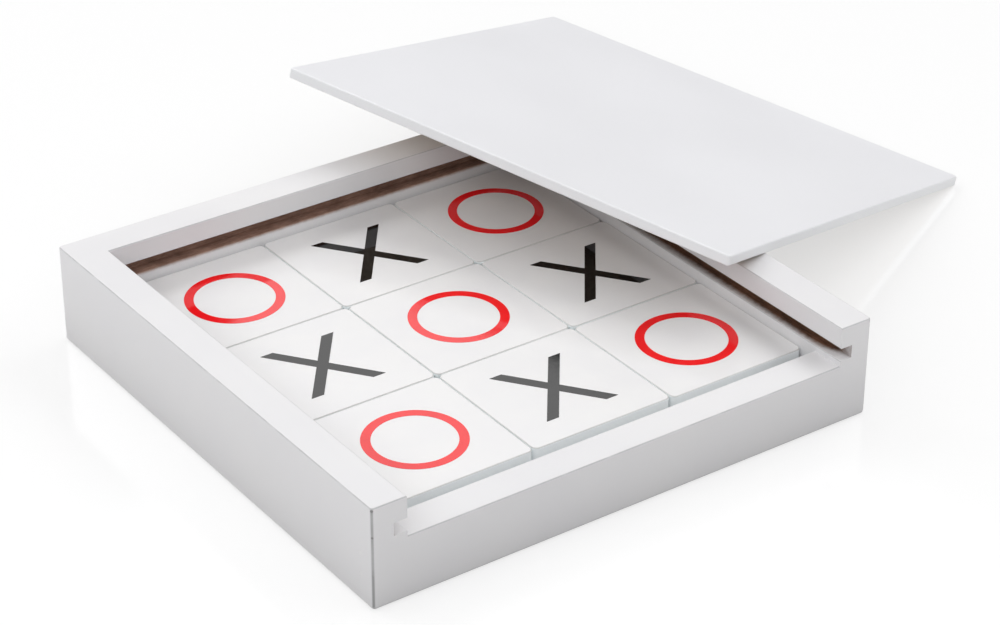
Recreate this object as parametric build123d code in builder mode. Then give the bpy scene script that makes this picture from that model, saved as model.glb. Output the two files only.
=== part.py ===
from build123d import *

import os
from math import cos, radians, sin

# Tic-tac-toe game in a flat wooden box, all sizes in millimetres.
# Origin: centre of the box on the surface it stands on.
# +X is to the right along the low front wall, +Y is from front to back, +Z is up.

# Tiles: nine square blocks with a printed ring or cross
tile_size = 44.66
tile_thickness = 12.7
tile_corner = 1.8  # radius of the four upright corners
tile_ease = 0.4  # rounding of the top and bottom edges
tile_gap = 0.15  # between neighbouring tiles
tiles_a_side = 3

# The tiles lie loose, so the rows and columns have slid a little from their even places
row_slides = {"front": 0.15, "middle": 0.15, "back": -0.3}  # to the right
column_slides = {"left": 0.05, "middle": 0.1, "right": -0.25}  # towards the back wall
nudged_tile = ("front", "right")  # this one has slid a little nearer the front wall still
nudge = 0.15

# Marks: an ink film on the tile's top
ink_film = 0.06
ring_outer_radius = 14.2
ring_band = 2.7
cross_half_width = 11.7
cross_half_height = 13.1
cross_bar = 3.9  # width of a bar, measured along its level end

# How far each mark was printed off the middle of its tile, to the right and towards the back
print_slips = {
    "front_left": (0.0, -0.5),
    "front_middle": (-0.2, -0.2),
    "front_right": (-0.3, -0.2),
    "middle_left": (0.3, -0.2),
    "centre": (0.2, 0.1),
    "middle_right": (0.3, -0.3),
    "back_left": (-0.1, -0.2),
    "back_middle": (0.3, 0.1),
    "back_right": (0.1, 0.6),
}

# Room round the block of nine tiles, which lies pushed into the back right corner
slack_left = 4.67
slack_right = 0.25
slack_front = 5.17
slack_back = 0.25

# Box
wall = 10.4
base_thickness = 4.0
rebate_depth = 5.0  # how far the base panel reaches under each wall
rebate_play = 0.15
lip_height = 6.3  # wall above the lid groove
front_drop = 1.6  # front wall's top below the groove's floor
groove_depth = 4.0
corner_ease = 1.0  # upright outer edges
bottom_ease = 0.9
top_ease = 0.5
lip_ease = 0.4  # inner edges beside the groove

# Lid: a plain panel that slides in from the front, over the front wall
lid_thickness = 3.1
lid_lift_play = 0.7  # groove height beyond the lid's thickness
lid_headroom = 3.2  # groove's floor above the tiles' tops
lid_side_play = 0.9
lid_end_play = 0.3
lid_overhang = 1.8  # how far the closed lid stands out over the front wall
lid_corner = 1.0
lid_ease = 0.45

# Lid's place at rest: taken off and leant on the right wall, with one corner on the floor
lean_tilt = 14.9
lean_turn = 19.25
lean_corner_y = 4.35  # the corner on the floor, measured from the box's centre
lean_gap = 0.1  # running gap to the wall's edge
floor_gap = 0.05

# Brads: headed pins set flush under the paint
brad_radius = 0.6
brad_head_radius = 0.9
brad_head = 0.5
brad_point = 1.5
brad_play = 0.02
corner_brad_length = 20.0
base_brad_length = 12.0
brad_edge = 4.0  # from a wall's top or from the base panel to the nearest brad
back_brad_inset = 3.2  # from the side's outer face, clear of the groove
base_brad_reach = 45.0  # from the middle of each wall

# Sizes that follow from these
tile_pitch = tile_size + tile_gap
block = tiles_a_side * tile_size + (tiles_a_side - 1) * tile_gap
inner_width = slack_left + block + slack_right
inner_depth = slack_front + block + slack_back
box_width = inner_width + 2 * wall
box_depth = inner_depth + 2 * wall
tile_top = base_thickness + tile_thickness
groove_floor = tile_top + lid_headroom
groove_top = groove_floor + lid_thickness + lid_lift_play
box_height = groove_top + lip_height
front_height = groove_floor - front_drop
lid_width = inner_width + 2 * (groove_depth - lid_side_play)
lid_length = wall + inner_depth + groove_depth - lid_end_play + lid_overhang
panel_width = inner_width + 2 * rebate_depth
panel_depth = inner_depth + 2 * rebate_depth

half_width = box_width / 2
half_depth = box_depth / 2
on_floor = (Align.CENTER, Align.CENTER, Align.MIN)
print(f"box {box_width:.1f} x {box_depth:.1f} x {box_height:.1f}")
print(f"lid {lid_width:.1f} x {lid_length:.1f} x {lid_thickness:.1f}")

os.makedirs("parts", exist_ok=True)


def finish(piece, name):
    piece.part.label = name
    export_step(piece.part, f"parts/{name}.step")


# Box walls

# The outer form that eases every outside edge of the box
with BuildPart() as outer_form:
    Box(box_width, box_depth, box_height, align=on_floor)
    fillet(outer_form.edges().filter_by(Axis.Z), corner_ease)
    fillet(outer_form.faces().sort_by(Axis.Z)[-1].edges(), top_ease)
    fillet(outer_form.faces().sort_by(Axis.Z)[0].edges(), bottom_ease)

# Section of a grooved wall: X runs inwards from the outer face, Y runs up
with BuildSketch() as grooved_section:
    with BuildLine():
        Polyline(
            (0, 0),
            (wall, 0),
            (wall, groove_floor),
            (wall - groove_depth, groove_floor),
            (wall - groove_depth, groove_top),
            (wall, groove_top),
            (wall, box_height),
            (0, box_height),
            close=True,
        )
    make_face()
    inner_corners = grooved_section.vertices().group_by(Axis.X)[-1].sort_by(Axis.Y)
    fillet(inner_corners[1:], lip_ease)

# Brads run inwards from these planes, whose Z points out of the wood
front_brad_heights = (base_thickness + brad_edge, front_height - brad_edge)
back_brad_heights = (base_thickness + brad_edge, box_height - brad_edge)
corner_brad_planes = []
for side in (-1, 1):
    for height in front_brad_heights:
        place = (side * half_width, wall / 2 - half_depth, height)
        corner_brad_planes.append(Plane(origin=place, z_dir=(side, 0, 0)))
    for height in back_brad_heights:
        place = (side * (half_width - back_brad_inset), half_depth, height)
        corner_brad_planes.append(Plane(origin=place, z_dir=(0, 1, 0)))

base_brad_planes = []
for reach in (-base_brad_reach, base_brad_reach):
    for side in (-1, 1):
        across = side * (inner_width + rebate_depth) / 2
        along = side * (inner_depth + rebate_depth) / 2
        base_brad_planes.append(Plane(origin=(across, reach, 0), z_dir=(0, 0, -1)))
        base_brad_planes.append(Plane(origin=(reach, along, 0), z_dir=(0, 0, -1)))


def drill_for_brads(planes, length):
    with Locations(*planes):
        CounterBoreHole(
            brad_radius + brad_play, brad_head_radius + brad_play, brad_head, depth=length
        )


# Eases a wall's outside, and gives it the base panel's rebate and its brad holes
def finish_wall():
    add(outer_form.part, mode=Mode.INTERSECT)
    rebate = (panel_width + 2 * rebate_play, panel_depth + 2 * rebate_play)
    Box(*rebate, base_thickness, align=on_floor, mode=Mode.SUBTRACT)
    drill_for_brads(corner_brad_planes, corner_brad_length)
    drill_for_brads(base_brad_planes, base_brad_length)


left_mitre = Plane(origin=(-half_width, half_depth, 0), z_dir=(1, 1, 0))
right_mitre = Plane(origin=(half_width, half_depth, 0), z_dir=(-1, 1, 0))

with BuildPart() as left_wall:
    left_start = Plane(origin=(-half_width, half_depth, 0), x_dir=(1, 0, 0), z_dir=(0, -1, 0))
    with BuildSketch(left_start):
        add(grooved_section.sketch)
    extrude(amount=box_depth)
    split(bisect_by=left_mitre, keep=Keep.BOTTOM)
    finish_wall()
finish(left_wall, "left_wall")

with BuildPart() as right_wall:
    right_start = Plane(origin=(half_width, -half_depth, 0), x_dir=(-1, 0, 0), z_dir=(0, 1, 0))
    with BuildSketch(right_start):
        add(grooved_section.sketch)
    extrude(amount=box_depth)
    split(bisect_by=right_mitre, keep=Keep.BOTTOM)
    finish_wall()
finish(right_wall, "right_wall")

with BuildPart() as back_wall:
    back_start = Plane(origin=(half_width, half_depth, 0), x_dir=(0, -1, 0), z_dir=(-1, 0, 0))
    with BuildSketch(back_start):
        add(grooved_section.sketch)
    extrude(amount=box_width)
    split(bisect_by=left_mitre, keep=Keep.TOP)
    split(bisect_by=right_mitre, keep=Keep.TOP)
    finish_wall()
finish(back_wall, "back_wall")

# The low front wall stands between the side walls, so the lid slides in over it
with BuildPart() as front_wall:
    with BuildSketch(Plane(origin=(-inner_width / 2, 0, 0), x_dir=(0, 1, 0), z_dir=(1, 0, 0))):
        with Locations((wall / 2 - half_depth, front_height / 2)):
            Rectangle(wall, front_height)
    extrude(amount=inner_width)
    fillet(front_wall.faces().sort_by(Axis.Z)[-1].edges().filter_by(Axis.X), top_ease)
    finish_wall()
finish(front_wall, "front_wall")

# Base panel, set in the walls' rebate and flush with their undersides
with BuildPart() as base_panel:
    Box(panel_width, panel_depth, base_thickness, align=on_floor)
    drill_for_brads(base_brad_planes, base_brad_length)
finish(base_panel, "base_panel")


# A brad's head, shank and point, from its plane inwards
def drive_brads(planes, length):
    downwards = (Align.CENTER, Align.CENTER, Align.MAX)
    shank = length - brad_head - brad_point
    with Locations(*planes):
        Cylinder(brad_head_radius, brad_head, align=downwards)
        with Locations((0, 0, -brad_head)):
            Cylinder(brad_radius, shank, align=downwards)
        with Locations((0, 0, -brad_head - shank)):
            Cone(brad_radius / 4, brad_radius, brad_point, align=downwards)


with BuildPart() as corner_brads:
    drive_brads(corner_brad_planes, corner_brad_length)
finish(corner_brads, "corner_brads")

with BuildPart() as base_brads:
    drive_brads(base_brad_planes, base_brad_length)
finish(base_brads, "base_brads")

# Lid
# Its underside lies on the rounded top edge of the right wall and slopes down to the floor
lean_normal = Vector(sin(radians(lean_tilt)), 0, cos(radians(lean_tilt)))
edge_centre = Vector(half_width - top_ease, 0, box_height - top_ease)
lean_distance = lean_normal.dot(edge_centre) + top_ease + lean_gap
lean_corner_x = (lean_distance - lean_normal.Z * floor_gap) / lean_normal.X
downhill = Vector(lean_normal.Z, 0, -lean_normal.X)
lid_across = downhill * cos(radians(lean_turn)) + Vector(0, 1, 0) * sin(radians(lean_turn))
lean_plane = Plane(
    origin=(lean_corner_x, lean_corner_y, floor_gap), x_dir=lid_across, z_dir=lean_normal
)

with BuildPart(lean_plane) as lid:
    Box(lid_width, lid_length, lid_thickness, align=(Align.MAX, Align.MIN, Align.MIN))
    upright = Axis(lean_plane.origin, lean_plane.z_dir)
    fillet(lid.edges().filter_by(upright), lid_corner)
    fillet(lid.faces().filter_by(lean_plane).edges(), lid_ease)
finish(lid, "lid")

# Tiles and their marks
row_names = ("front", "middle", "back")
column_names = ("left", "middle", "right")

for row, row_name in enumerate(row_names):
    for column, column_name in enumerate(column_names):
        centred = row_name == column_name == "middle"
        where = "centre" if centred else f"{row_name}_{column_name}"
        has_ring = (row + column) % 2 == 0
        x = slack_left + tile_size / 2 + column * tile_pitch - inner_width / 2 + row_slides[row_name]
        y = slack_front + tile_size / 2 + row * tile_pitch - inner_depth / 2 + column_slides[column_name]
        if (row_name, column_name) == nudged_tile:
            y -= nudge

        with BuildPart() as tile:
            with BuildSketch(Plane(origin=(x, y, base_thickness))):
                RectangleRounded(tile_size, tile_size, tile_corner)
            extrude(amount=tile_thickness)
            fillet(tile.faces().filter_by(Plane.XY).edges(), tile_ease)
        finish(tile, f"tile_{where}")

        right_slip, back_slip = print_slips[where]
        with BuildPart() as mark:
            with BuildSketch(Plane(origin=(x + right_slip, y + back_slip, tile_top))):
                if has_ring:
                    Circle(ring_outer_radius)
                    Circle(ring_outer_radius - ring_band, mode=Mode.SUBTRACT)
                else:
                    with BuildLine():
                        Polyline(
                            (-cross_half_width, -cross_half_height),
                            (cross_bar - cross_half_width, -cross_half_height),
                            (cross_half_width, cross_half_height),
                            (cross_half_width - cross_bar, cross_half_height),
                            close=True,
                        )
                    make_face()
                    mirror(about=Plane.YZ)
            extrude(amount=ink_film)
        finish(mark, f"ring_{where}" if has_ring else f"cross_{where}")
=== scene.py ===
from functools import partial
from math import cos, pi, radians, sin

import bpy
from mathutils import Matrix, Vector


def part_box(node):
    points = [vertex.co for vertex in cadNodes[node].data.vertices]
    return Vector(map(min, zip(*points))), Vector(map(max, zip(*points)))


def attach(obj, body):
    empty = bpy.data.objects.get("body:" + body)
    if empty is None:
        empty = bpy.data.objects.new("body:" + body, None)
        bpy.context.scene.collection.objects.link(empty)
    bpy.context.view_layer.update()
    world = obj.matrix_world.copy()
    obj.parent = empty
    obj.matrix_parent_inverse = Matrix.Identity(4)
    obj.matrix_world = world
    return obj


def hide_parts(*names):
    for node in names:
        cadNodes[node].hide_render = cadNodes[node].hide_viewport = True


# Tic-tac-toe game: a white lacquered box with nine loose tiles, its lid taken off and leant on
# the right wall. Everything is in metres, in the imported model's own frame.
mm = 0.001

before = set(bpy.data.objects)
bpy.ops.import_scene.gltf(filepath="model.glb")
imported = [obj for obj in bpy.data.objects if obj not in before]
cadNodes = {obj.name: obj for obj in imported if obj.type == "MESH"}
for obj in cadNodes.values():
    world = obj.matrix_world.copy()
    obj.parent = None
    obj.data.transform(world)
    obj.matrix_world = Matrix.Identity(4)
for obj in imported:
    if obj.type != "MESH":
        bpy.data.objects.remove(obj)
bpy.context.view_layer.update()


# Shared helpers

def linearColour(hexCode):  # sRGB hex to the linear values that shaders take
    channels = [int(hexCode[i:i + 2], 16) / 255 for i in (1, 3, 5)]
    linear = [c / 12.92 if c <= 0.04045 else ((c + 0.055) / 1.055) ** 2.4 for c in channels]
    return (*linear, 1.0)


# Adds a node with its settings and links. inputs: a socket's name or number, and a value, a node,
# an output, or a list of those
def addNode(tree, kind, inputs=None, **settings):
    node = tree.nodes.new(kind)
    for name, value in settings.items():
        setattr(node, name, value)
    for key, value in (inputs or {}).items():
        if isinstance(key, str):
            socket = next(each for each in node.inputs if each.enabled and each.name == key)
        else:
            socket = node.inputs[key]
        for source in value if isinstance(value, list) else [value]:
            if isinstance(source, bpy.types.Node):
                source = next(each for each in source.outputs if each.enabled)
            if isinstance(source, bpy.types.NodeSocket):
                tree.links.new(source, socket)
            else:
                socket.default_value = source
    return node


def emptyTree(owner):  # clears a material or world, and returns the function that adds a node to it
    owner.use_nodes = True
    owner.node_tree.nodes.clear()
    return partial(addNode, owner.node_tree)


def closeMaterial(add, colour, roughness, height, heightScale):  # a bumped surface, to the output
    relief = add("ShaderNodeBump", {"Distance": heightScale, "Height": height})
    shader = add("ShaderNodeBsdfPrincipled", {
        "Base Color": colour, "Roughness": roughness, "Normal": relief})
    add("ShaderNodeOutputMaterial", {"Surface": shader})


def setMaterial(nodeName, material):  # gives a CAD node its finish, on its object's slots
    for materialSlot in cadNodes[nodeName].material_slots:
        materialSlot.link = "OBJECT"
        materialSlot.material = material


# A noise stays near 0.5, so a Map Range stretches one of these spans to the whole of 0 to 1
softSpan = {"From Min": 0.35, "From Max": 0.65}
grainSpan = {"From Min": 0.3, "From Max": 0.7}
raggedSpan = {"From Min": 0.25, "From Max": 0.75}


# Where the walls and the lid groove lie, read from the frame

leftLow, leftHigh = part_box("left_wall")
frontLow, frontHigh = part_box("front_wall")
halfWidth = -leftLow.x
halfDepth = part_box("back_wall")[1].y
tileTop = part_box("tile_centre")[1].z
innerHalfWidth = (frontHigh.x - frontLow.x) / 2
wallThickness = frontHigh.y - frontLow.y
innerBack = halfDepth - wallThickness

groove = {
    "floorAboveTiles": 3.2 * mm,
    "height": 3.8 * mm,
    "depth": 4.0 * mm,
    "skin": 0.03 * mm,  # how near a surface may lie to count as on the groove
    "fadeBelow": 1.6 * mm,  # bare board shows this far below the mouth's lower edge
    "endTurn": 0.5,  # a face whose normal lies further along the groove is the bar's end
}
grooveFloor = tileTop + groove["floorAboveTiles"]
grooveTop = grooveFloor + groove["height"]
print(f"groove: {grooveFloor / mm:.1f} to {grooveTop / mm:.1f} mm above the floor")


# Box: fibreboard bars sprayed with a satin white lacquer

boxFinish = {
    "white": "#E9E8E9",
    "whiteLow": "#E6E5E7",  # where the spray lay a little thinner
    "toneSize": 38 * mm,
    "roughness": 0.38,
    "roughnessPlay": 0.025,
    "peelSize": 1.6 * mm,  # orange peel of a sprayed film
    "peelHeight": 0.012 * mm,
    "edgeShadeTone": "#7E7E80",  # painted shade: a grey line along the rounded edges, where the light falls off
    "edgeShadeShare": 0.45,
    "edgeUpright": 0.3,  # as much again on the upright corners
    "contactShadeBelow": 0.8,  # painted contact shadow, stronger on the bottom edges that stand on the table
    "edgeBreak": 6 * mm,
    "edgeFaint": 0.6,  # the line's strength where it is faintest
    "edgeSpan": {"From Min": 0.3, "From Max": 0.6},  # the noise, from faintest to full
    "edgeTurn": {"From Min": 0.96, "From Max": 0.84},  # the normal's widest part, from no line to full
    "uprightTurn": {"From Min": 0.3, "From Max": 0.0},  # how far it rises, from level edges to upright
    "belowTurn": {"From Min": -0.2, "From Max": -0.5},  # the same, from the sides to the bottom edges
    # Nicks in the front's upright corners: left or right, how far below the top, radius
    "chips": [(-1, 0.8 * mm, 0.5 * mm), (-1, 8.6 * mm, 0.4 * mm), (1, 0.7 * mm, 0.6 * mm)],
    "chipInset": 0.3 * mm,
    "chipCore": 0.6,  # share of the radius that is wholly worn
    "chipTone": "#858484",
}


# Satin lacquer: an even soft white with faint orange peel and a thin grey line of painted shade along the
# edges
def satinCoat(add, finish):
    coordinates = add("ShaderNodeTexCoord")
    place = coordinates.outputs["Object"]
    cloud = add("ShaderNodeTexNoise", {"Vector": place, "Scale": 1 / finish["toneSize"]})
    tone = add("ShaderNodeMapRange", {"Value": cloud, **softSpan})
    white = add("ShaderNodeMix", {
        "Factor": tone, "A": linearColour(finish["whiteLow"]), "B": linearColour(finish["white"])},
        data_type="RGBA")

    # On a rounded edge the normal lies between two axes, so its widest part is well under 1
    facing = add("ShaderNodeSeparateXYZ", {0: coordinates.outputs["Normal"]})
    size = add("ShaderNodeVectorMath", {0: coordinates.outputs["Normal"]}, operation="ABSOLUTE")
    part = add("ShaderNodeSeparateXYZ", {0: size})
    widest = add("ShaderNodeMath", {0: part.outputs[0], 1: part.outputs[1]}, operation="MAXIMUM")
    widest = add("ShaderNodeMath", {0: widest, 1: part.outputs[2]}, operation="MAXIMUM")
    edgeShade = add("ShaderNodeMapRange", {"Value": widest, **finish["edgeTurn"]})
    upright = add("ShaderNodeMapRange", {
        "Value": part.outputs[2], **finish["uprightTurn"],
        "To Min": finish["edgeShadeShare"], "To Max": finish["edgeShadeShare"] + finish["edgeUpright"]})
    # Painted contact shadow: the line grows stronger towards the bottom edges
    below = add("ShaderNodeMapRange", {
        "Value": facing.outputs[2], **finish["belowTurn"], "To Max": finish["contactShadeBelow"]})
    share = add("ShaderNodeMath", {0: upright, 1: below}, operation="MAXIMUM")
    gaps = add("ShaderNodeTexNoise", {
        "Vector": place, "Scale": 1 / finish["edgeBreak"], "Detail": 3.0})
    broken = add("ShaderNodeMapRange", {
        "Value": gaps, **finish["edgeSpan"], "To Min": finish["edgeFaint"], "To Max": 1.0})
    edgeShade = add("ShaderNodeMath", {0: edgeShade, 1: share}, operation="MULTIPLY")
    edgeShade = add("ShaderNodeMath", {0: edgeShade, 1: broken}, operation="MULTIPLY")
    colour = add("ShaderNodeMix", {
        "Factor": edgeShade, "A": white, "B": linearColour(finish["edgeShadeTone"])}, data_type="RGBA")
    inset = finish["chipInset"]
    for side, down, radius in finish["chips"]:
        middle = (side * (halfWidth - inset), frontLow.y + inset, leftHigh.z - down)
        away = add("ShaderNodeVectorMath", {0: place, 1: middle}, operation="DISTANCE")
        chip = add("ShaderNodeMapRange", {
            "Value": away, "From Min": radius, "From Max": radius * finish["chipCore"]})
        colour = add("ShaderNodeMix", {
            "Factor": chip, "A": colour, "B": linearColour(finish["chipTone"])}, data_type="RGBA")

    roughness = add("ShaderNodeMapRange", {
        "Value": tone, "To Min": finish["roughness"] - finish["roughnessPlay"],
        "To Max": finish["roughness"] + finish["roughnessPlay"]})
    peel = add("ShaderNodeTexNoise", {
        "Vector": place, "Scale": 1 / finish["peelSize"], "Detail": 1.0})
    return colour, roughness, peel


def satinBoard(name, finish):
    material = bpy.data.materials.new(name)
    add = emptyTree(material)
    colour, roughness, peel = satinCoat(add, finish)
    closeMaterial(add, colour, roughness, peel, finish["peelHeight"])
    return material


setMaterial("front_wall", satinBoard("satinLacquerOnFibreboard", boxFinish))

# Base panel: the same board and paint, blown thin into the bottom of the box
panelFinish = {
    **boxFinish,
    "white": "#EDEBEA",
    "whiteLow": "#E4E0DC",
    "toneSize": 22 * mm,
    "edgeShadeShare": 0.3,
    "edgeUpright": 0.0,
    "chips": [],
}
setMaterial("base_panel", satinBoard("thinLacquerOnFibreboard", panelFinish))


# Groove walls: the router laid the fibreboard bare, and only paint mist reached into the groove

routed = {
    "board": "#BC9886",
    "boardDark": "#6E5043",  # resin-rich streaks
    "streak": 0.6 * mm,  # coarser than the real fibres, which are too fine to show
    "streakLength": 5.0,  # times its width, along the cutter's path
    "blotch": 7 * mm,
    "blotchShare": 0.4,
    "roughness": 0.9,
    "feltHeight": 0.12 * mm,
    # How far the paint reached in, to the middle of its fade. Below 0 that is outside the mouth
    "mist": -0.4 * mm,
    "mistBlur": 1.5 * mm,
    "rag": 0.15 * mm,
    "ragSize": 2.2 * mm,
    "farMist": 0.0 * mm,  # how much further it reached towards the back
    "farStart": 16 * mm,  # from the front
    "farEnd": 75 * mm,
    "endMist": 3.2 * mm,  # more of it blew in at the open front ends
    "endLength": 11 * mm,
}


# Satin lacquer on the flats and, inside the groove, felted brown board under a fading mist of paint
def groovedBoard(name, finish, cut, along):
    material = bpy.data.materials.new(name)
    add = emptyTree(material)
    colour, roughness, peel = satinCoat(add, finish)
    coordinates = add("ShaderNodeTexCoord")
    place = coordinates.outputs["Object"]
    x, y, z = add("ShaderNodeSeparateXYZ", {0: place}).outputs

    # Depth into the wall from its inner face, for the side walls and the back wall alike
    aside = add("ShaderNodeMath", {0: x}, operation="ABSOLUTE")
    aside = add("ShaderNodeMath", {0: aside, 1: innerHalfWidth}, operation="SUBTRACT")
    behind = add("ShaderNodeMath", {0: y, 1: innerBack}, operation="SUBTRACT")
    depth = add("ShaderNodeMath", {0: aside, 1: behind}, operation="MAXIMUM")
    lowest = grooveFloor - groove["fadeBelow"]
    above = add("ShaderNodeMath", {0: z, 1: lowest}, operation="GREATER_THAN")
    below = add("ShaderNodeMath", {0: z, 1: grooveTop + groove["skin"]}, operation="LESS_THAN")
    inward = add("ShaderNodeMath", {0: depth, 1: groove["depth"] + groove["skin"]}, operation="LESS_THAN")
    lengthways = add("ShaderNodeVectorMath", {0: coordinates.outputs["Normal"], 1: along},
                     operation="DOT_PRODUCT")
    lengthways = add("ShaderNodeMath", {0: lengthways}, operation="ABSOLUTE")
    sideways = add("ShaderNodeMath", {0: lengthways, 1: groove["endTurn"]}, operation="LESS_THAN")
    within = add("ShaderNodeMath", {0: above, 1: below}, operation="MULTIPLY")
    within = add("ShaderNodeMath", {0: within, 1: inward}, operation="MULTIPLY")
    within = add("ShaderNodeMath", {0: within, 1: sideways}, operation="MULTIPLY")

    # Paint mist: it fades over a soft and slightly ragged line, and just over the mouth's lower edge
    drop = add("ShaderNodeMath", {0: grooveFloor, 1: z}, operation="SUBTRACT")
    drop = add("ShaderNodeMath", {0: drop, 1: 0.0}, operation="MAXIMUM")
    inside = add("ShaderNodeMath", {0: depth, 1: drop}, operation="SUBTRACT")
    ragNoise = add("ShaderNodeTexNoise", {
        "Vector": place, "Scale": 1 / cut["ragSize"], "Detail": 4.0, "Roughness": 0.65})
    rag = add("ShaderNodeMapRange", {
        "Value": ragNoise, **raggedSpan,
        "To Min": cut["mist"] - cut["rag"], "To Max": cut["mist"] + cut["rag"]})
    fromEnd = add("ShaderNodeMath", {0: y, 1: frontLow.y}, operation="SUBTRACT")
    endMist = add("ShaderNodeMapRange", {
        "Value": fromEnd, "From Max": cut["endLength"], "To Min": cut["endMist"], "To Max": 0.0},
        interpolation_type="SMOOTHSTEP")
    farMist = add("ShaderNodeMapRange", {
        "Value": fromEnd, "From Min": cut["farStart"], "From Max": cut["farEnd"],
        "To Max": cut["farMist"]})
    reach = add("ShaderNodeMath", {0: rag, 1: endMist}, operation="ADD")
    reach = add("ShaderNodeMath", {0: reach, 1: farMist}, operation="ADD")
    past = add("ShaderNodeMath", {0: inside, 1: reach}, operation="SUBTRACT")
    bare = add("ShaderNodeMapRange", {
        "Value": past, "From Min": -cut["mistBlur"] / 2, "From Max": cut["mistBlur"] / 2},
        interpolation_type="SMOOTHSTEP")
    bare = add("ShaderNodeMath", {0: bare, 1: within}, operation="MULTIPLY")

    # Board: fibres drawn long beside the cutter's path
    stretch = tuple(1 / cut["streakLength"] if way else 1.0 for way in along)
    drawn = add("ShaderNodeVectorMath", {0: place, 1: stretch}, operation="MULTIPLY")
    streak = add("ShaderNodeTexNoise", {
        "Vector": drawn, "Scale": 1 / cut["streak"], "Detail": 5.0, "Roughness": 0.7})
    blotch = add("ShaderNodeTexNoise", {"Vector": place, "Scale": 1 / cut["blotch"]})
    mottle = add("ShaderNodeMix", {"Factor": cut["blotchShare"], "A": streak, "B": blotch})
    mottle = add("ShaderNodeMapRange", {"Value": mottle, **grainSpan})
    board = add("ShaderNodeMix", {
        "Factor": mottle, "A": linearColour(cut["boardDark"]), "B": linearColour(cut["board"])},
        data_type="RGBA")
    colour = add("ShaderNodeMix", {"Factor": bare, "A": colour, "B": board}, data_type="RGBA")
    roughness = add("ShaderNodeMix", {"Factor": bare, "A": roughness, "B": cut["roughness"]})

    # The felted cut stands much rougher than the film's orange peel
    felt = add("ShaderNodeMath", {0: streak, 1: bare}, operation="MULTIPLY")
    felt = add("ShaderNodeMath", {0: felt, 1: cut["feltHeight"] / finish["peelHeight"]},
               operation="MULTIPLY")
    height = add("ShaderNodeMath", {0: peel, 1: felt}, operation="ADD")
    closeMaterial(add, colour, roughness, height, finish["peelHeight"])
    return material


# The side walls are cut along Y, the back wall along X, and the sides' board is painted darker, as
# painted shade in the groove under the lip
shadedSideCut = {
    **routed,
    # Painted shade: a darker board than the back's, for the groove's depth under the lip
    "board": "#8E6248",
    "boardDark": "#3E281B",
    "mist": 1.0 * mm,
    "mistBlur": 2.8 * mm,
    "rag": 0.4 * mm,
    "ragSize": 1.6 * mm,
    "farMist": 0.6 * mm,
}
sideBoard = groovedBoard("satinLacquerOnRoutedSide", boxFinish, shadedSideCut, (0.0, 1.0, 0.0))
for nodeName in ("left_wall", "right_wall"):
    setMaterial(nodeName, sideBoard)
setMaterial("back_wall", groovedBoard("satinLacquerOnRoutedBack", boxFinish, routed, (1.0, 0.0, 0.0)))


# Lid: thin fibreboard under the same lacquer, cooler and flatter, its reverse left bare

lidFinish = {
    **boxFinish,
    "white": "#EFEFF2",
    "whiteLow": "#EDEDF0",
    "toneSize": 60 * mm,
    "roughness": 0.42,
    "edgeShadeShare": 0.0,
    "edgeUpright": 0.0,
    "contactShadeBelow": 0.0,
    "chips": [],
    "sawn": "#F1F2F4",
    "sawnTurn": {"From Min": 0.8, "From Max": 0.5},  # cosine to the face's normal, from face to edge
    "reverse": "#B8AA9A",
    "reverseDark": "#A09080",
    "reverseTurn": -0.9,  # the reverse lies below this cosine
    "reverseRoughness": 0.75,
    "fleck": 1.2 * mm,
}


# Satin lacquer on the face, sawn edges that drink it and so look flatter, and a flecked bare reverse
def lidBoard(name, finish):
    material = bpy.data.materials.new(name)
    add = emptyTree(material)
    colour, roughness, peel = satinCoat(add, finish)
    face = max((face for face in cadNodes["lid"].data.polygons if face.normal.z > 0),
               key=lambda face: face.area)
    coordinates = add("ShaderNodeTexCoord")
    outward = add("ShaderNodeVectorMath", {0: coordinates.outputs["Normal"], 1: tuple(face.normal)},
                  operation="DOT_PRODUCT")
    sawn = add("ShaderNodeMapRange", {"Value": outward, **finish["sawnTurn"]})
    colour = add("ShaderNodeMix", {
        "Factor": sawn, "A": colour, "B": linearColour(finish["sawn"])}, data_type="RGBA")
    flecks = add("ShaderNodeTexNoise", {
        "Vector": coordinates.outputs["Object"], "Scale": 1 / finish["fleck"], "Detail": 4.0})
    flecks = add("ShaderNodeMapRange", {"Value": flecks, **softSpan})
    brown = add("ShaderNodeMix", {
        "Factor": flecks, "A": linearColour(finish["reverseDark"]),
        "B": linearColour(finish["reverse"])}, data_type="RGBA")
    reverse = add("ShaderNodeMath", {0: outward, 1: finish["reverseTurn"]}, operation="LESS_THAN")
    colour = add("ShaderNodeMix", {"Factor": reverse, "A": colour, "B": brown}, data_type="RGBA")
    roughness = add("ShaderNodeMix", {
        "Factor": reverse, "A": roughness, "B": finish["reverseRoughness"]})
    closeMaterial(add, colour, roughness, peel, finish["peelHeight"])
    return material


setMaterial("lid", lidBoard("satinLacquerOnLid", lidFinish))

# Brads: bright steel in the board, their heads sunk flush and sprayed over with the box
bradFinish = {
    "steel": "#B9BCC0",
    "steelDark": "#9A9DA1",
    "roughness": 0.26,
    "roughnessDark": 0.4,
    "drawnScratch": 0.25 * mm,  # coarser than the real scratches, which are too fine to show
    "paintSkin": 0.06 * mm,  # paint on what lies this near the box's outside
}


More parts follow.
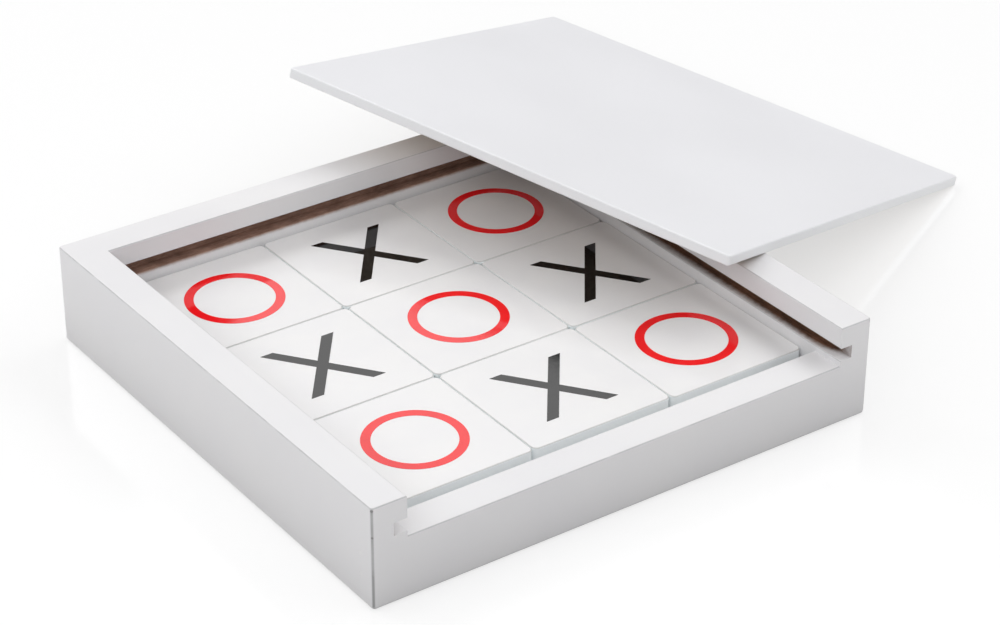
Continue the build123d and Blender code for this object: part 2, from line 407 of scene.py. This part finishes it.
# Drawn steel wire: a fine scratched grey metal, white where the box's paint covers the head
def paintedBrad(name, finish):
    material = bpy.data.materials.new(name)
    add = emptyTree(material)
    place = add("ShaderNodeTexCoord").outputs["Object"]
    x, y, z = add("ShaderNodeSeparateXYZ", {0: place}).outputs
    fromMiddle = add("ShaderNodeMath", {0: x}, operation="ABSOLUTE")
    besideSides = add("ShaderNodeMath", {0: halfWidth, 1: fromMiddle}, operation="SUBTRACT")
    fromMiddle = add("ShaderNodeMath", {0: y}, operation="ABSOLUTE")
    besideEnds = add("ShaderNodeMath", {0: halfDepth, 1: fromMiddle}, operation="SUBTRACT")
    nearest = add("ShaderNodeMath", {0: besideSides, 1: besideEnds}, operation="MINIMUM")
    nearest = add("ShaderNodeMath", {0: nearest, 1: z}, operation="MINIMUM")
    painted = add("ShaderNodeMath", {0: nearest, 1: finish["paintSkin"]}, operation="LESS_THAN")
    scratch = add("ShaderNodeTexNoise", {
        "Vector": place, "Scale": 1 / finish["drawnScratch"], "Detail": 3.0})
    scratch = add("ShaderNodeMapRange", {"Value": scratch, **grainSpan})
    steel = add("ShaderNodeMix", {
        "Factor": scratch, "A": linearColour(finish["steel"]), "B": linearColour(finish["steelDark"])},
        data_type="RGBA")
    colour = add("ShaderNodeMix", {
        "Factor": painted, "A": steel, "B": linearColour(boxFinish["white"])}, data_type="RGBA")
    metal = add("ShaderNodeMath", {0: 1.0, 1: painted}, operation="SUBTRACT")
    roughness = add("ShaderNodeMapRange", {
        "Value": scratch, "To Min": finish["roughness"], "To Max": finish["roughnessDark"]})
    shader = add("ShaderNodeBsdfPrincipled", {
        "Base Color": colour, "Metallic": metal, "Roughness": roughness})
    add("ShaderNodeOutputMaterial", {"Surface": shader})
    return material


bradSteel = paintedBrad("drawnSteelWire", bradFinish)
for nodeName in ("corner_brads", "base_brads"):
    setMaterial(nodeName, bradSteel)
print("materials: box, lid and brads")


# Geometry Nodes: a tree gets its named inputs, and a piece sets them by identifier

weld = 0.001 * mm  # points nearer than this are one


def newTree(name, inputs):
    tree = bpy.data.node_groups.new(name, "GeometryNodeTree")
    tree.interface.new_socket("Geometry", in_out="OUTPUT", socket_type="NodeSocketGeometry")
    for label, kind in inputs.items():
        tree.interface.new_socket(label, in_out="INPUT", socket_type="NodeSocket" + kind)
    given = tree.nodes.new("NodeGroupInput")
    return tree, partial(addNode, tree), given.outputs


def closeTree(add, geometry, material):
    real = add("GeometryNodeRealizeInstances", {0: geometry})
    finished = add("GeometryNodeSetMaterial", {"Geometry": real, "Material": material})
    add("NodeGroupOutput", {0: finished})


def standBlock(add, outline, height):  # a closed block that stands on a flat outline
    rise = add("ShaderNodeCombineXYZ", {"Z": height})
    bottom = add("GeometryNodeFillCurve", {0: outline}, mode="NGONS")
    upper = add("GeometryNodeExtrudeMesh", {"Mesh": bottom, "Offset": rise, "Individual": False})
    lower = add("GeometryNodeFlipFaces", {0: bottom})
    both = add("GeometryNodeJoinGeometry", {0: [lower, upper]})
    return add("GeometryNodeMergeByDistance", {0: both, "Distance": weld})


# Turns a tree into a plain mesh that stands for a CAD node. rounding: a bevel's own settings
def growPiece(name, tree, values, body, nodeName, rounding=None):
    piece = bpy.data.objects.new(name, bpy.data.meshes.new(name))
    bpy.context.scene.collection.objects.link(piece)
    grow = piece.modifiers.new("grow", "NODES")
    grow.node_group = tree
    for item in tree.interface.items_tree:
        if item.in_out == "INPUT":
            grow[item.identifier] = values[item.name]
    if rounding:
        ease = piece.modifiers.new("ease", "BEVEL")
        ease.limit_method = "ANGLE"
        ease.harden_normals = True
        for setting, value in rounding.items():
            setattr(ease, setting, value)
    graph = bpy.context.evaluated_depsgraph_get()
    mesh = bpy.data.meshes.new_from_object(piece.evaluated_get(graph))
    piece.modifiers.clear()
    piece.data = mesh
    mesh.name = name
    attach(piece, body)
    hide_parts(nodeName)


# Tiles: square blocks with rounded upright corners

tile = {
    "corner": 1.8 * mm,
    "cornerSteps": 7,
    "ease": 0.4 * mm,  # rounding of the top and bottom edges
    "easeSteps": 3,
    "easeAngle": 50,  # degrees: the facets of the upright corners turn by less and stay
    "white": "#EAE9E9",
    "whiteLow": "#E7E6E7",
    "side": "#F5FAFB",  # the cut sides, cooler and painted lighter than the tops: painted light in the narrow gaps
    "seamShade": "#B4B1AE",  # painted shade on the rounded top edge, which darkens the seams between tiles
    "seamShadeShare": 0.6,
    "topTurn": {"From Min": 0.5, "From Max": 0.9},  # how far the normal rises, from side to top
    "seamShadeStart": {"From Min": 0.2, "From Max": 0.5},  # the same, from the side to the full rim
    "seamShadeEnd": {"From Min": 0.99, "From Max": 0.93},  # the same, from the flat top to the full rim
    "toneSize": 16 * mm,
    "roughness": 0.17,
    "roughnessPlay": 0.015,
    "sideRoughness": 0.4,
    "peelSize": 2.4 * mm,
    "peelHeight": 0.004 * mm,
}


# Gloss lacquer on fibreboard blocks: near-white and smooth on top, cooler, flatter and painted lighter on
# the sides
def tileLacquer(name, finish):
    material = bpy.data.materials.new(name)
    add = emptyTree(material)
    coordinates = add("ShaderNodeTexCoord")
    place = coordinates.outputs["Object"]
    size = add("ShaderNodeVectorMath", {0: coordinates.outputs["Normal"]}, operation="ABSOLUTE")
    rise = add("ShaderNodeSeparateXYZ", {0: size}).outputs[2]
    top = add("ShaderNodeMapRange", {"Value": rise, **finish["topTurn"]})
    cloud = add("ShaderNodeTexNoise", {"Vector": place, "Scale": 1 / finish["toneSize"]})
    tone = add("ShaderNodeMapRange", {"Value": cloud, **softSpan})
    white = add("ShaderNodeMix", {
        "Factor": tone, "A": linearColour(finish["whiteLow"]), "B": linearColour(finish["white"])},
        data_type="RGBA")
    # Painted light: the sides take a lighter colour than the tops
    colour = add("ShaderNodeMix", {
        "Factor": top, "A": linearColour(finish["side"]), "B": white}, data_type="RGBA")
    # Painted shade on the rounded top edge, strongest between the flat top and the side
    above = add("ShaderNodeMapRange", {"Value": rise, **finish["seamShadeStart"]})
    level = add("ShaderNodeMapRange", {"Value": rise, **finish["seamShadeEnd"]})
    seamShade = add("ShaderNodeMath", {0: above, 1: level}, operation="MULTIPLY")
    seamShade = add("ShaderNodeMath", {0: seamShade, 1: finish["seamShadeShare"]}, operation="MULTIPLY")
    colour = add("ShaderNodeMix", {
        "Factor": seamShade, "A": colour, "B": linearColour(finish["seamShade"])}, data_type="RGBA")
    gloss = add("ShaderNodeMapRange", {
        "Value": tone, "To Min": finish["roughness"] - finish["roughnessPlay"],
        "To Max": finish["roughness"] + finish["roughnessPlay"]})
    roughness = add("ShaderNodeMix", {"Factor": top, "A": finish["sideRoughness"], "B": gloss})
    peel = add("ShaderNodeTexNoise", {
        "Vector": place, "Scale": 1 / finish["peelSize"], "Detail": 1.0})
    closeMaterial(add, colour, roughness, peel, finish["peelHeight"])
    return material


def tileBlock():
    tree, add, given = newTree("tileBlock", {
        "Side": "Float", "Thickness": "Float", "Corner": "Float", "Corner steps": "Int",
        "Centre": "Vector", "Material": "Material"})
    outline = add("GeometryNodeCurvePrimitiveQuadrilateral", {
        "Width": given["Side"], "Height": given["Side"]})
    rounded = add("GeometryNodeFilletCurve", {
        "Curve": outline, "Radius": given["Corner"], "Count": given["Corner steps"]}, mode="POLY")
    block = standBlock(add, rounded, given["Thickness"])
    placed = add("GeometryNodeTransform", {"Geometry": block, "Translation": given["Centre"]})
    smooth = add("GeometryNodeSetShadeSmooth", {0: placed})
    closeTree(add, smooth, given["Material"])
    return tree


tileTree = tileBlock()
tileWhite = tileLacquer("glossLacquerOnBlock", tile)
tileRounding = {
    "width": tile["ease"], "segments": tile["easeSteps"], "angle_limit": radians(tile["easeAngle"])}
tileNodes = [name for name in sorted(cadNodes) if name.startswith("tile_")]
for nodeName in tileNodes:
    where = nodeName.removeprefix("tile_")
    low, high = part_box(nodeName)
    growPiece(f"{where}_tile", tileTree, {
        "Side": high.x - low.x, "Thickness": high.z - low.z, "Corner": tile["corner"],
        "Corner steps": tile["cornerSteps"], "Material": tileWhite,
        "Centre": ((low.x + high.x) / 2, (low.y + high.y) / 2, low.z),
    }, f"{where}_piece", nodeName, tileRounding)
print(f"tiles: {len(tileNodes)}")


# Marks: rings and crosses screen printed in gloss ink

marks = {
    "ringBand": 2.7 * mm,
    "ringSteps": 128,
    "crossBar": 3.9 * mm,
    "red": "#F01A20",
    "redThin": "#EA171D",
    "black": "#070606",
    "blackThin": "#0C0B0B",
    "toneSize": 5 * mm,
    "roughness": 0.05,
    "roughnessPlay": 0.01,
    "poolSize": 1.1 * mm,  # ink that pooled and drew back as it dried
    "poolHeight": 0.0012 * mm,
}


# Screen printing ink: dense glossy film, slightly uneven where it pooled
def printedInk(name, strong, thin):
    material = bpy.data.materials.new(name)
    add = emptyTree(material)
    place = add("ShaderNodeTexCoord").outputs["Object"]
    cloud = add("ShaderNodeTexNoise", {
        "Vector": place, "Scale": 1 / marks["toneSize"], "Detail": 3.0})
    tone = add("ShaderNodeMapRange", {"Value": cloud, **softSpan})
    colour = add("ShaderNodeMix", {
        "Factor": tone, "A": linearColour(thin), "B": linearColour(strong)}, data_type="RGBA")
    pool = add("ShaderNodeTexNoise", {"Vector": place, "Scale": 1 / marks["poolSize"]})
    roughness = add("ShaderNodeMapRange", {
        "Value": pool, **grainSpan,
        "To Min": marks["roughness"] - marks["roughnessPlay"],
        "To Max": marks["roughness"] + marks["roughnessPlay"]})
    closeMaterial(add, colour, roughness, pool, marks["poolHeight"])
    return material


def ringPrint():
    tree, add, given = newTree("ringPrint", {
        "Outer radius": "Float", "Band": "Float", "Film": "Float", "Steps": "Int",
        "Centre": "Vector", "Material": "Material"})
    halfBand = add("ShaderNodeMath", {0: given["Band"], 1: 2.0}, operation="DIVIDE")
    middle = add("ShaderNodeMath", {0: given["Outer radius"], 1: halfBand}, operation="SUBTRACT")
    path = add("GeometryNodeCurvePrimitiveCircle", {"Radius": middle, "Resolution": given["Steps"]})
    section = add("GeometryNodeCurvePrimitiveQuadrilateral", {
        "Width": given["Band"], "Height": given["Film"]})
    band = add("GeometryNodeCurveToMesh", {"Curve": path, "Profile Curve": section})
    placed = add("GeometryNodeTransform", {"Geometry": band, "Translation": given["Centre"]})
    flat = add("GeometryNodeSetShadeSmooth", {0: placed, "Shade Smooth": False})
    closeTree(add, flat, given["Material"])
    return tree


def crossPrint():
    tree, add, given = newTree("crossPrint", {
        "Width": "Float", "Height": "Float", "Bar": "Float", "Film": "Float",
        "Centre": "Vector", "Material": "Material"})
    lean = add("ShaderNodeMath", {0: given["Width"], 1: given["Bar"]}, operation="SUBTRACT")
    leanBack = add("ShaderNodeMath", {0: lean, 1: -1.0}, operation="MULTIPLY")
    bars = []
    for slope in (lean, leanBack):
        outline = add("GeometryNodeCurvePrimitiveQuadrilateral", {
            "Width": given["Bar"], "Height": given["Height"], "Offset": slope}, mode="PARALLELOGRAM")
        bars.append(standBlock(add, outline, given["Film"]))
    crossed = add("GeometryNodeMeshBoolean", {1: bars}, operation="UNION", solver="EXACT")
    placed = add("GeometryNodeTransform", {"Geometry": crossed, "Translation": given["Centre"]})
    closeTree(add, placed, given["Material"])
    return tree


ringTree = ringPrint()
crossTree = crossPrint()
redInk = printedInk("redScreenInk", marks["red"], marks["redThin"])
blackInk = printedInk("blackScreenInk", marks["black"], marks["blackThin"])
for nodeName in sorted(cadNodes):
    kind, _, where = nodeName.partition("_")
    if kind not in ("ring", "cross"):
        continue
    low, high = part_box(nodeName)
    centre = (low + high) / 2
    film = high.z - low.z
    if kind == "ring":
        growPiece(f"{where}_ring_print", ringTree, {
            "Outer radius": (high.x - low.x) / 2, "Band": marks["ringBand"], "Film": film,
            "Steps": marks["ringSteps"], "Centre": tuple(centre), "Material": redInk,
        }, f"{where}_piece", nodeName)
    else:
        growPiece(f"{where}_cross_print", crossTree, {
            "Width": high.x - low.x, "Height": high.y - low.y, "Bar": marks["crossBar"],
            "Film": film, "Centre": (centre.x, centre.y, low.z), "Material": blackInk,
        }, f"{where}_piece", nodeName)
print("marks: rings and crosses")


# Floor: a white gloss board, shown bright to the camera, that keeps the object's shadow

floor = {
    "size": 12.0,
    "drop": 0.05 * mm,  # keeps it clear of the box's own underside
    "white": "#F4F4F4",
    "bounce": "#EAEAEA",  # what the object gets back from it
    "bounceNearShade": "#B4B4B4",  # the same close by, painted darker as the box's shade on the board
    "nearReach": 45 * mm,
    "glow": 0.635,  # share of plain white that the camera sees
    "shade": 0.4,  # share of the lit surface, which holds the shadow
    "roughness": 0.12,
}


# Gloss enamel on board: a faint soft mirror image of the box, over white that is partly its own light
def glossEnamel(name, finish):
    material = bpy.data.materials.new(name)
    add = emptyTree(material)
    place = add("ShaderNodeTexCoord").outputs["Object"]
    size = add("ShaderNodeVectorMath", {0: place}, operation="ABSOLUTE")
    beyond = add("ShaderNodeVectorMath", {0: size, 1: (halfWidth, halfDepth, 0.0)}, operation="SUBTRACT")
    beyond = add("ShaderNodeVectorMath", {0: beyond, 1: (0.0, 0.0, 0.0)}, operation="MAXIMUM")
    beyond = add("ShaderNodeVectorMath", {0: beyond}, operation="LENGTH")
    far = add("ShaderNodeMapRange", {"Value": beyond, "From Max": finish["nearReach"]},
              interpolation_type="SMOOTHSTEP")
    bounce = add("ShaderNodeMix", {
        "Factor": far, "A": linearColour(finish["bounceNearShade"]), "B": linearColour(finish["bounce"])},
        data_type="RGBA")
    plain = add("ShaderNodeBsdfDiffuse", {"Color": bounce})
    lit = [channel * finish["shade"] for channel in linearColour(finish["white"])[:3]]
    shaded = add("ShaderNodeBsdfPrincipled", {
        "Base Color": (*lit, 1.0), "Roughness": finish["roughness"]})
    glow = add("ShaderNodeEmission", {"Color": linearColour("#FFFFFF"), "Strength": finish["glow"]})
    shown = add("ShaderNodeAddShader", {0: shaded, 1: glow})
    ray = add("ShaderNodeLightPath").outputs
    seen = add("ShaderNodeMath", {
        0: ray["Is Camera Ray"], 1: ray["Is Glossy Ray"]}, operation="MAXIMUM")
    seen = add("ShaderNodeMath", {0: seen, 1: ray["Is Transmission Ray"]}, operation="MAXIMUM")
    mixed = add("ShaderNodeMixShader", {0: seen, 1: plain, 2: shown})
    add("ShaderNodeOutputMaterial", {"Surface": mixed})
    return material


def layFloor():
    half = floor["size"] / 2
    level = -floor["drop"]
    corners = [(-half, -half, level), (half, -half, level), (half, half, level), (-half, half, level)]
    mesh = bpy.data.meshes.new("floor")
    mesh.from_pydata(corners, [], [(0, 1, 2, 3)])
    mesh.materials.append(glossEnamel("whiteGlossBoard", floor))
    board = bpy.data.objects.new("floor", mesh)
    bpy.context.scene.collection.objects.link(board)


layFloor()
print("floor: laid")


# Studio: one large softbox behind, whose image lies on the near inks, and weaker fills round it

studio = {
    "aim": (0.0, 0.0, 0.02),
    # Azimuth from +X and elevation in degrees, distance, width, height, brightness, roll in degrees
    "lamps": {
        "rearSoftbox": (36.3, 47.8, 1.5, 1.46, 0.66, 1.67, -12.0),
        "rightLow": (0.0, 15.0, 1.4, 0.7, 0.5, 0.3),
        "backLow": (90.0, 15.0, 1.4, 0.7, 0.5, 2.05),
        "leftBackLow": (135.0, 15.0, 1.4, 0.7, 0.5, 1.3),
        "right": (0.0, 42.0, 1.4, 0.9, 0.8, 1.98),
        "back": (97.0, 42.0, 1.4, 0.9, 0.8, 2.4),
        "leftBack": (135.0, 42.0, 1.4, 0.9, 0.8, 1.09),
        "left": (180.0, 42.0, 1.4, 0.9, 0.8, 1.45),
        "rightFront": (315.0, 42.0, 1.4, 0.9, 0.8, 1.8),
        "leftBackHigh": (135.0, 68.0, 1.4, 0.9, 0.8, 0.5),
        "top": (0.0, 88.0, 1.4, 0.9, 0.9, 0.34),
        "cameraFill": (236.0, 35.0, 1.6, 2.2, 1.2, 1.43),
    },
}


def hangLamp(name, azimuth, elevation, distance, width, height, brightness, roll=0.0):
    heading, rise = radians(azimuth), radians(elevation)
    away = Vector((cos(rise) * cos(heading), cos(rise) * sin(heading), sin(rise)))
    lamp = bpy.data.lights.new(name, "AREA")
    lamp.shape = "RECTANGLE"
    lamp.size = width
    lamp.size_y = height
    lamp.energy = brightness * pi * width * height  # watts for this brightness per unit of area
    holder = bpy.data.objects.new(name, lamp)
    holder.visible_camera = False
    holder.location = Vector(studio["aim"]) + away * distance
    turned = away.to_track_quat("Z", "Y").to_matrix() @ Matrix.Rotation(radians(roll), 3, "Z")
    holder.rotation_euler = turned.to_euler()
    bpy.context.scene.collection.objects.link(holder)


for lampName, lampSpec in studio["lamps"].items():
    hangLamp(lampName, *lampSpec)


def whiteWorld():  # white to the camera and through glass, and dark to the rest, so it lights nothing
    world = bpy.data.worlds.new("studio")
    add = emptyTree(world)
    ray = add("ShaderNodeLightPath").outputs
    seen = add("ShaderNodeMath", {
        0: ray["Is Camera Ray"], 1: ray["Is Transmission Ray"]}, operation="MAXIMUM")
    white = add("ShaderNodeBackground", {"Color": linearColour("#FFFFFF"), "Strength": seen})
    add("ShaderNodeOutputWorld", {"Surface": white})
    bpy.context.scene.world = world


whiteWorld()
print(f"studio: {len(studio['lamps'])} lamps")


# Camera: where the photograph was taken from

camera = {
    "place": (-0.38935, -0.57003, 0.42060),
    "tilt": 59.878,  # degrees from straight down
    "turn": -35.331,  # degrees from +Y, below 0 to the right
    "roll": 0.175,
    "lens": 104.240,  # millimetres, as is the sensor's width
    "sensor": 36.0,
    "nearest": 0.01,
    "farthest": 50.0,
}


def setCamera():
    view = bpy.data.cameras.new("photoCamera")
    view.lens = camera["lens"]
    view.sensor_width = camera["sensor"]
    view.sensor_fit = "HORIZONTAL"
    view.clip_start = camera["nearest"]
    view.clip_end = camera["farthest"]
    holder = bpy.data.objects.new("photoCamera", view)
    turn = Matrix.Rotation(radians(camera["turn"]), 4, "Z")
    tilt = Matrix.Rotation(radians(camera["tilt"]), 4, "X")
    roll = Matrix.Rotation(radians(camera["roll"]), 4, "Z")
    holder.matrix_world = Matrix.Translation(camera["place"]) @ turn @ tilt @ roll
    bpy.context.scene.collection.objects.link(holder)
    bpy.context.scene.camera = holder


setCamera()
bpy.context.scene.view_settings.view_transform = "Standard"
print("camera: set")
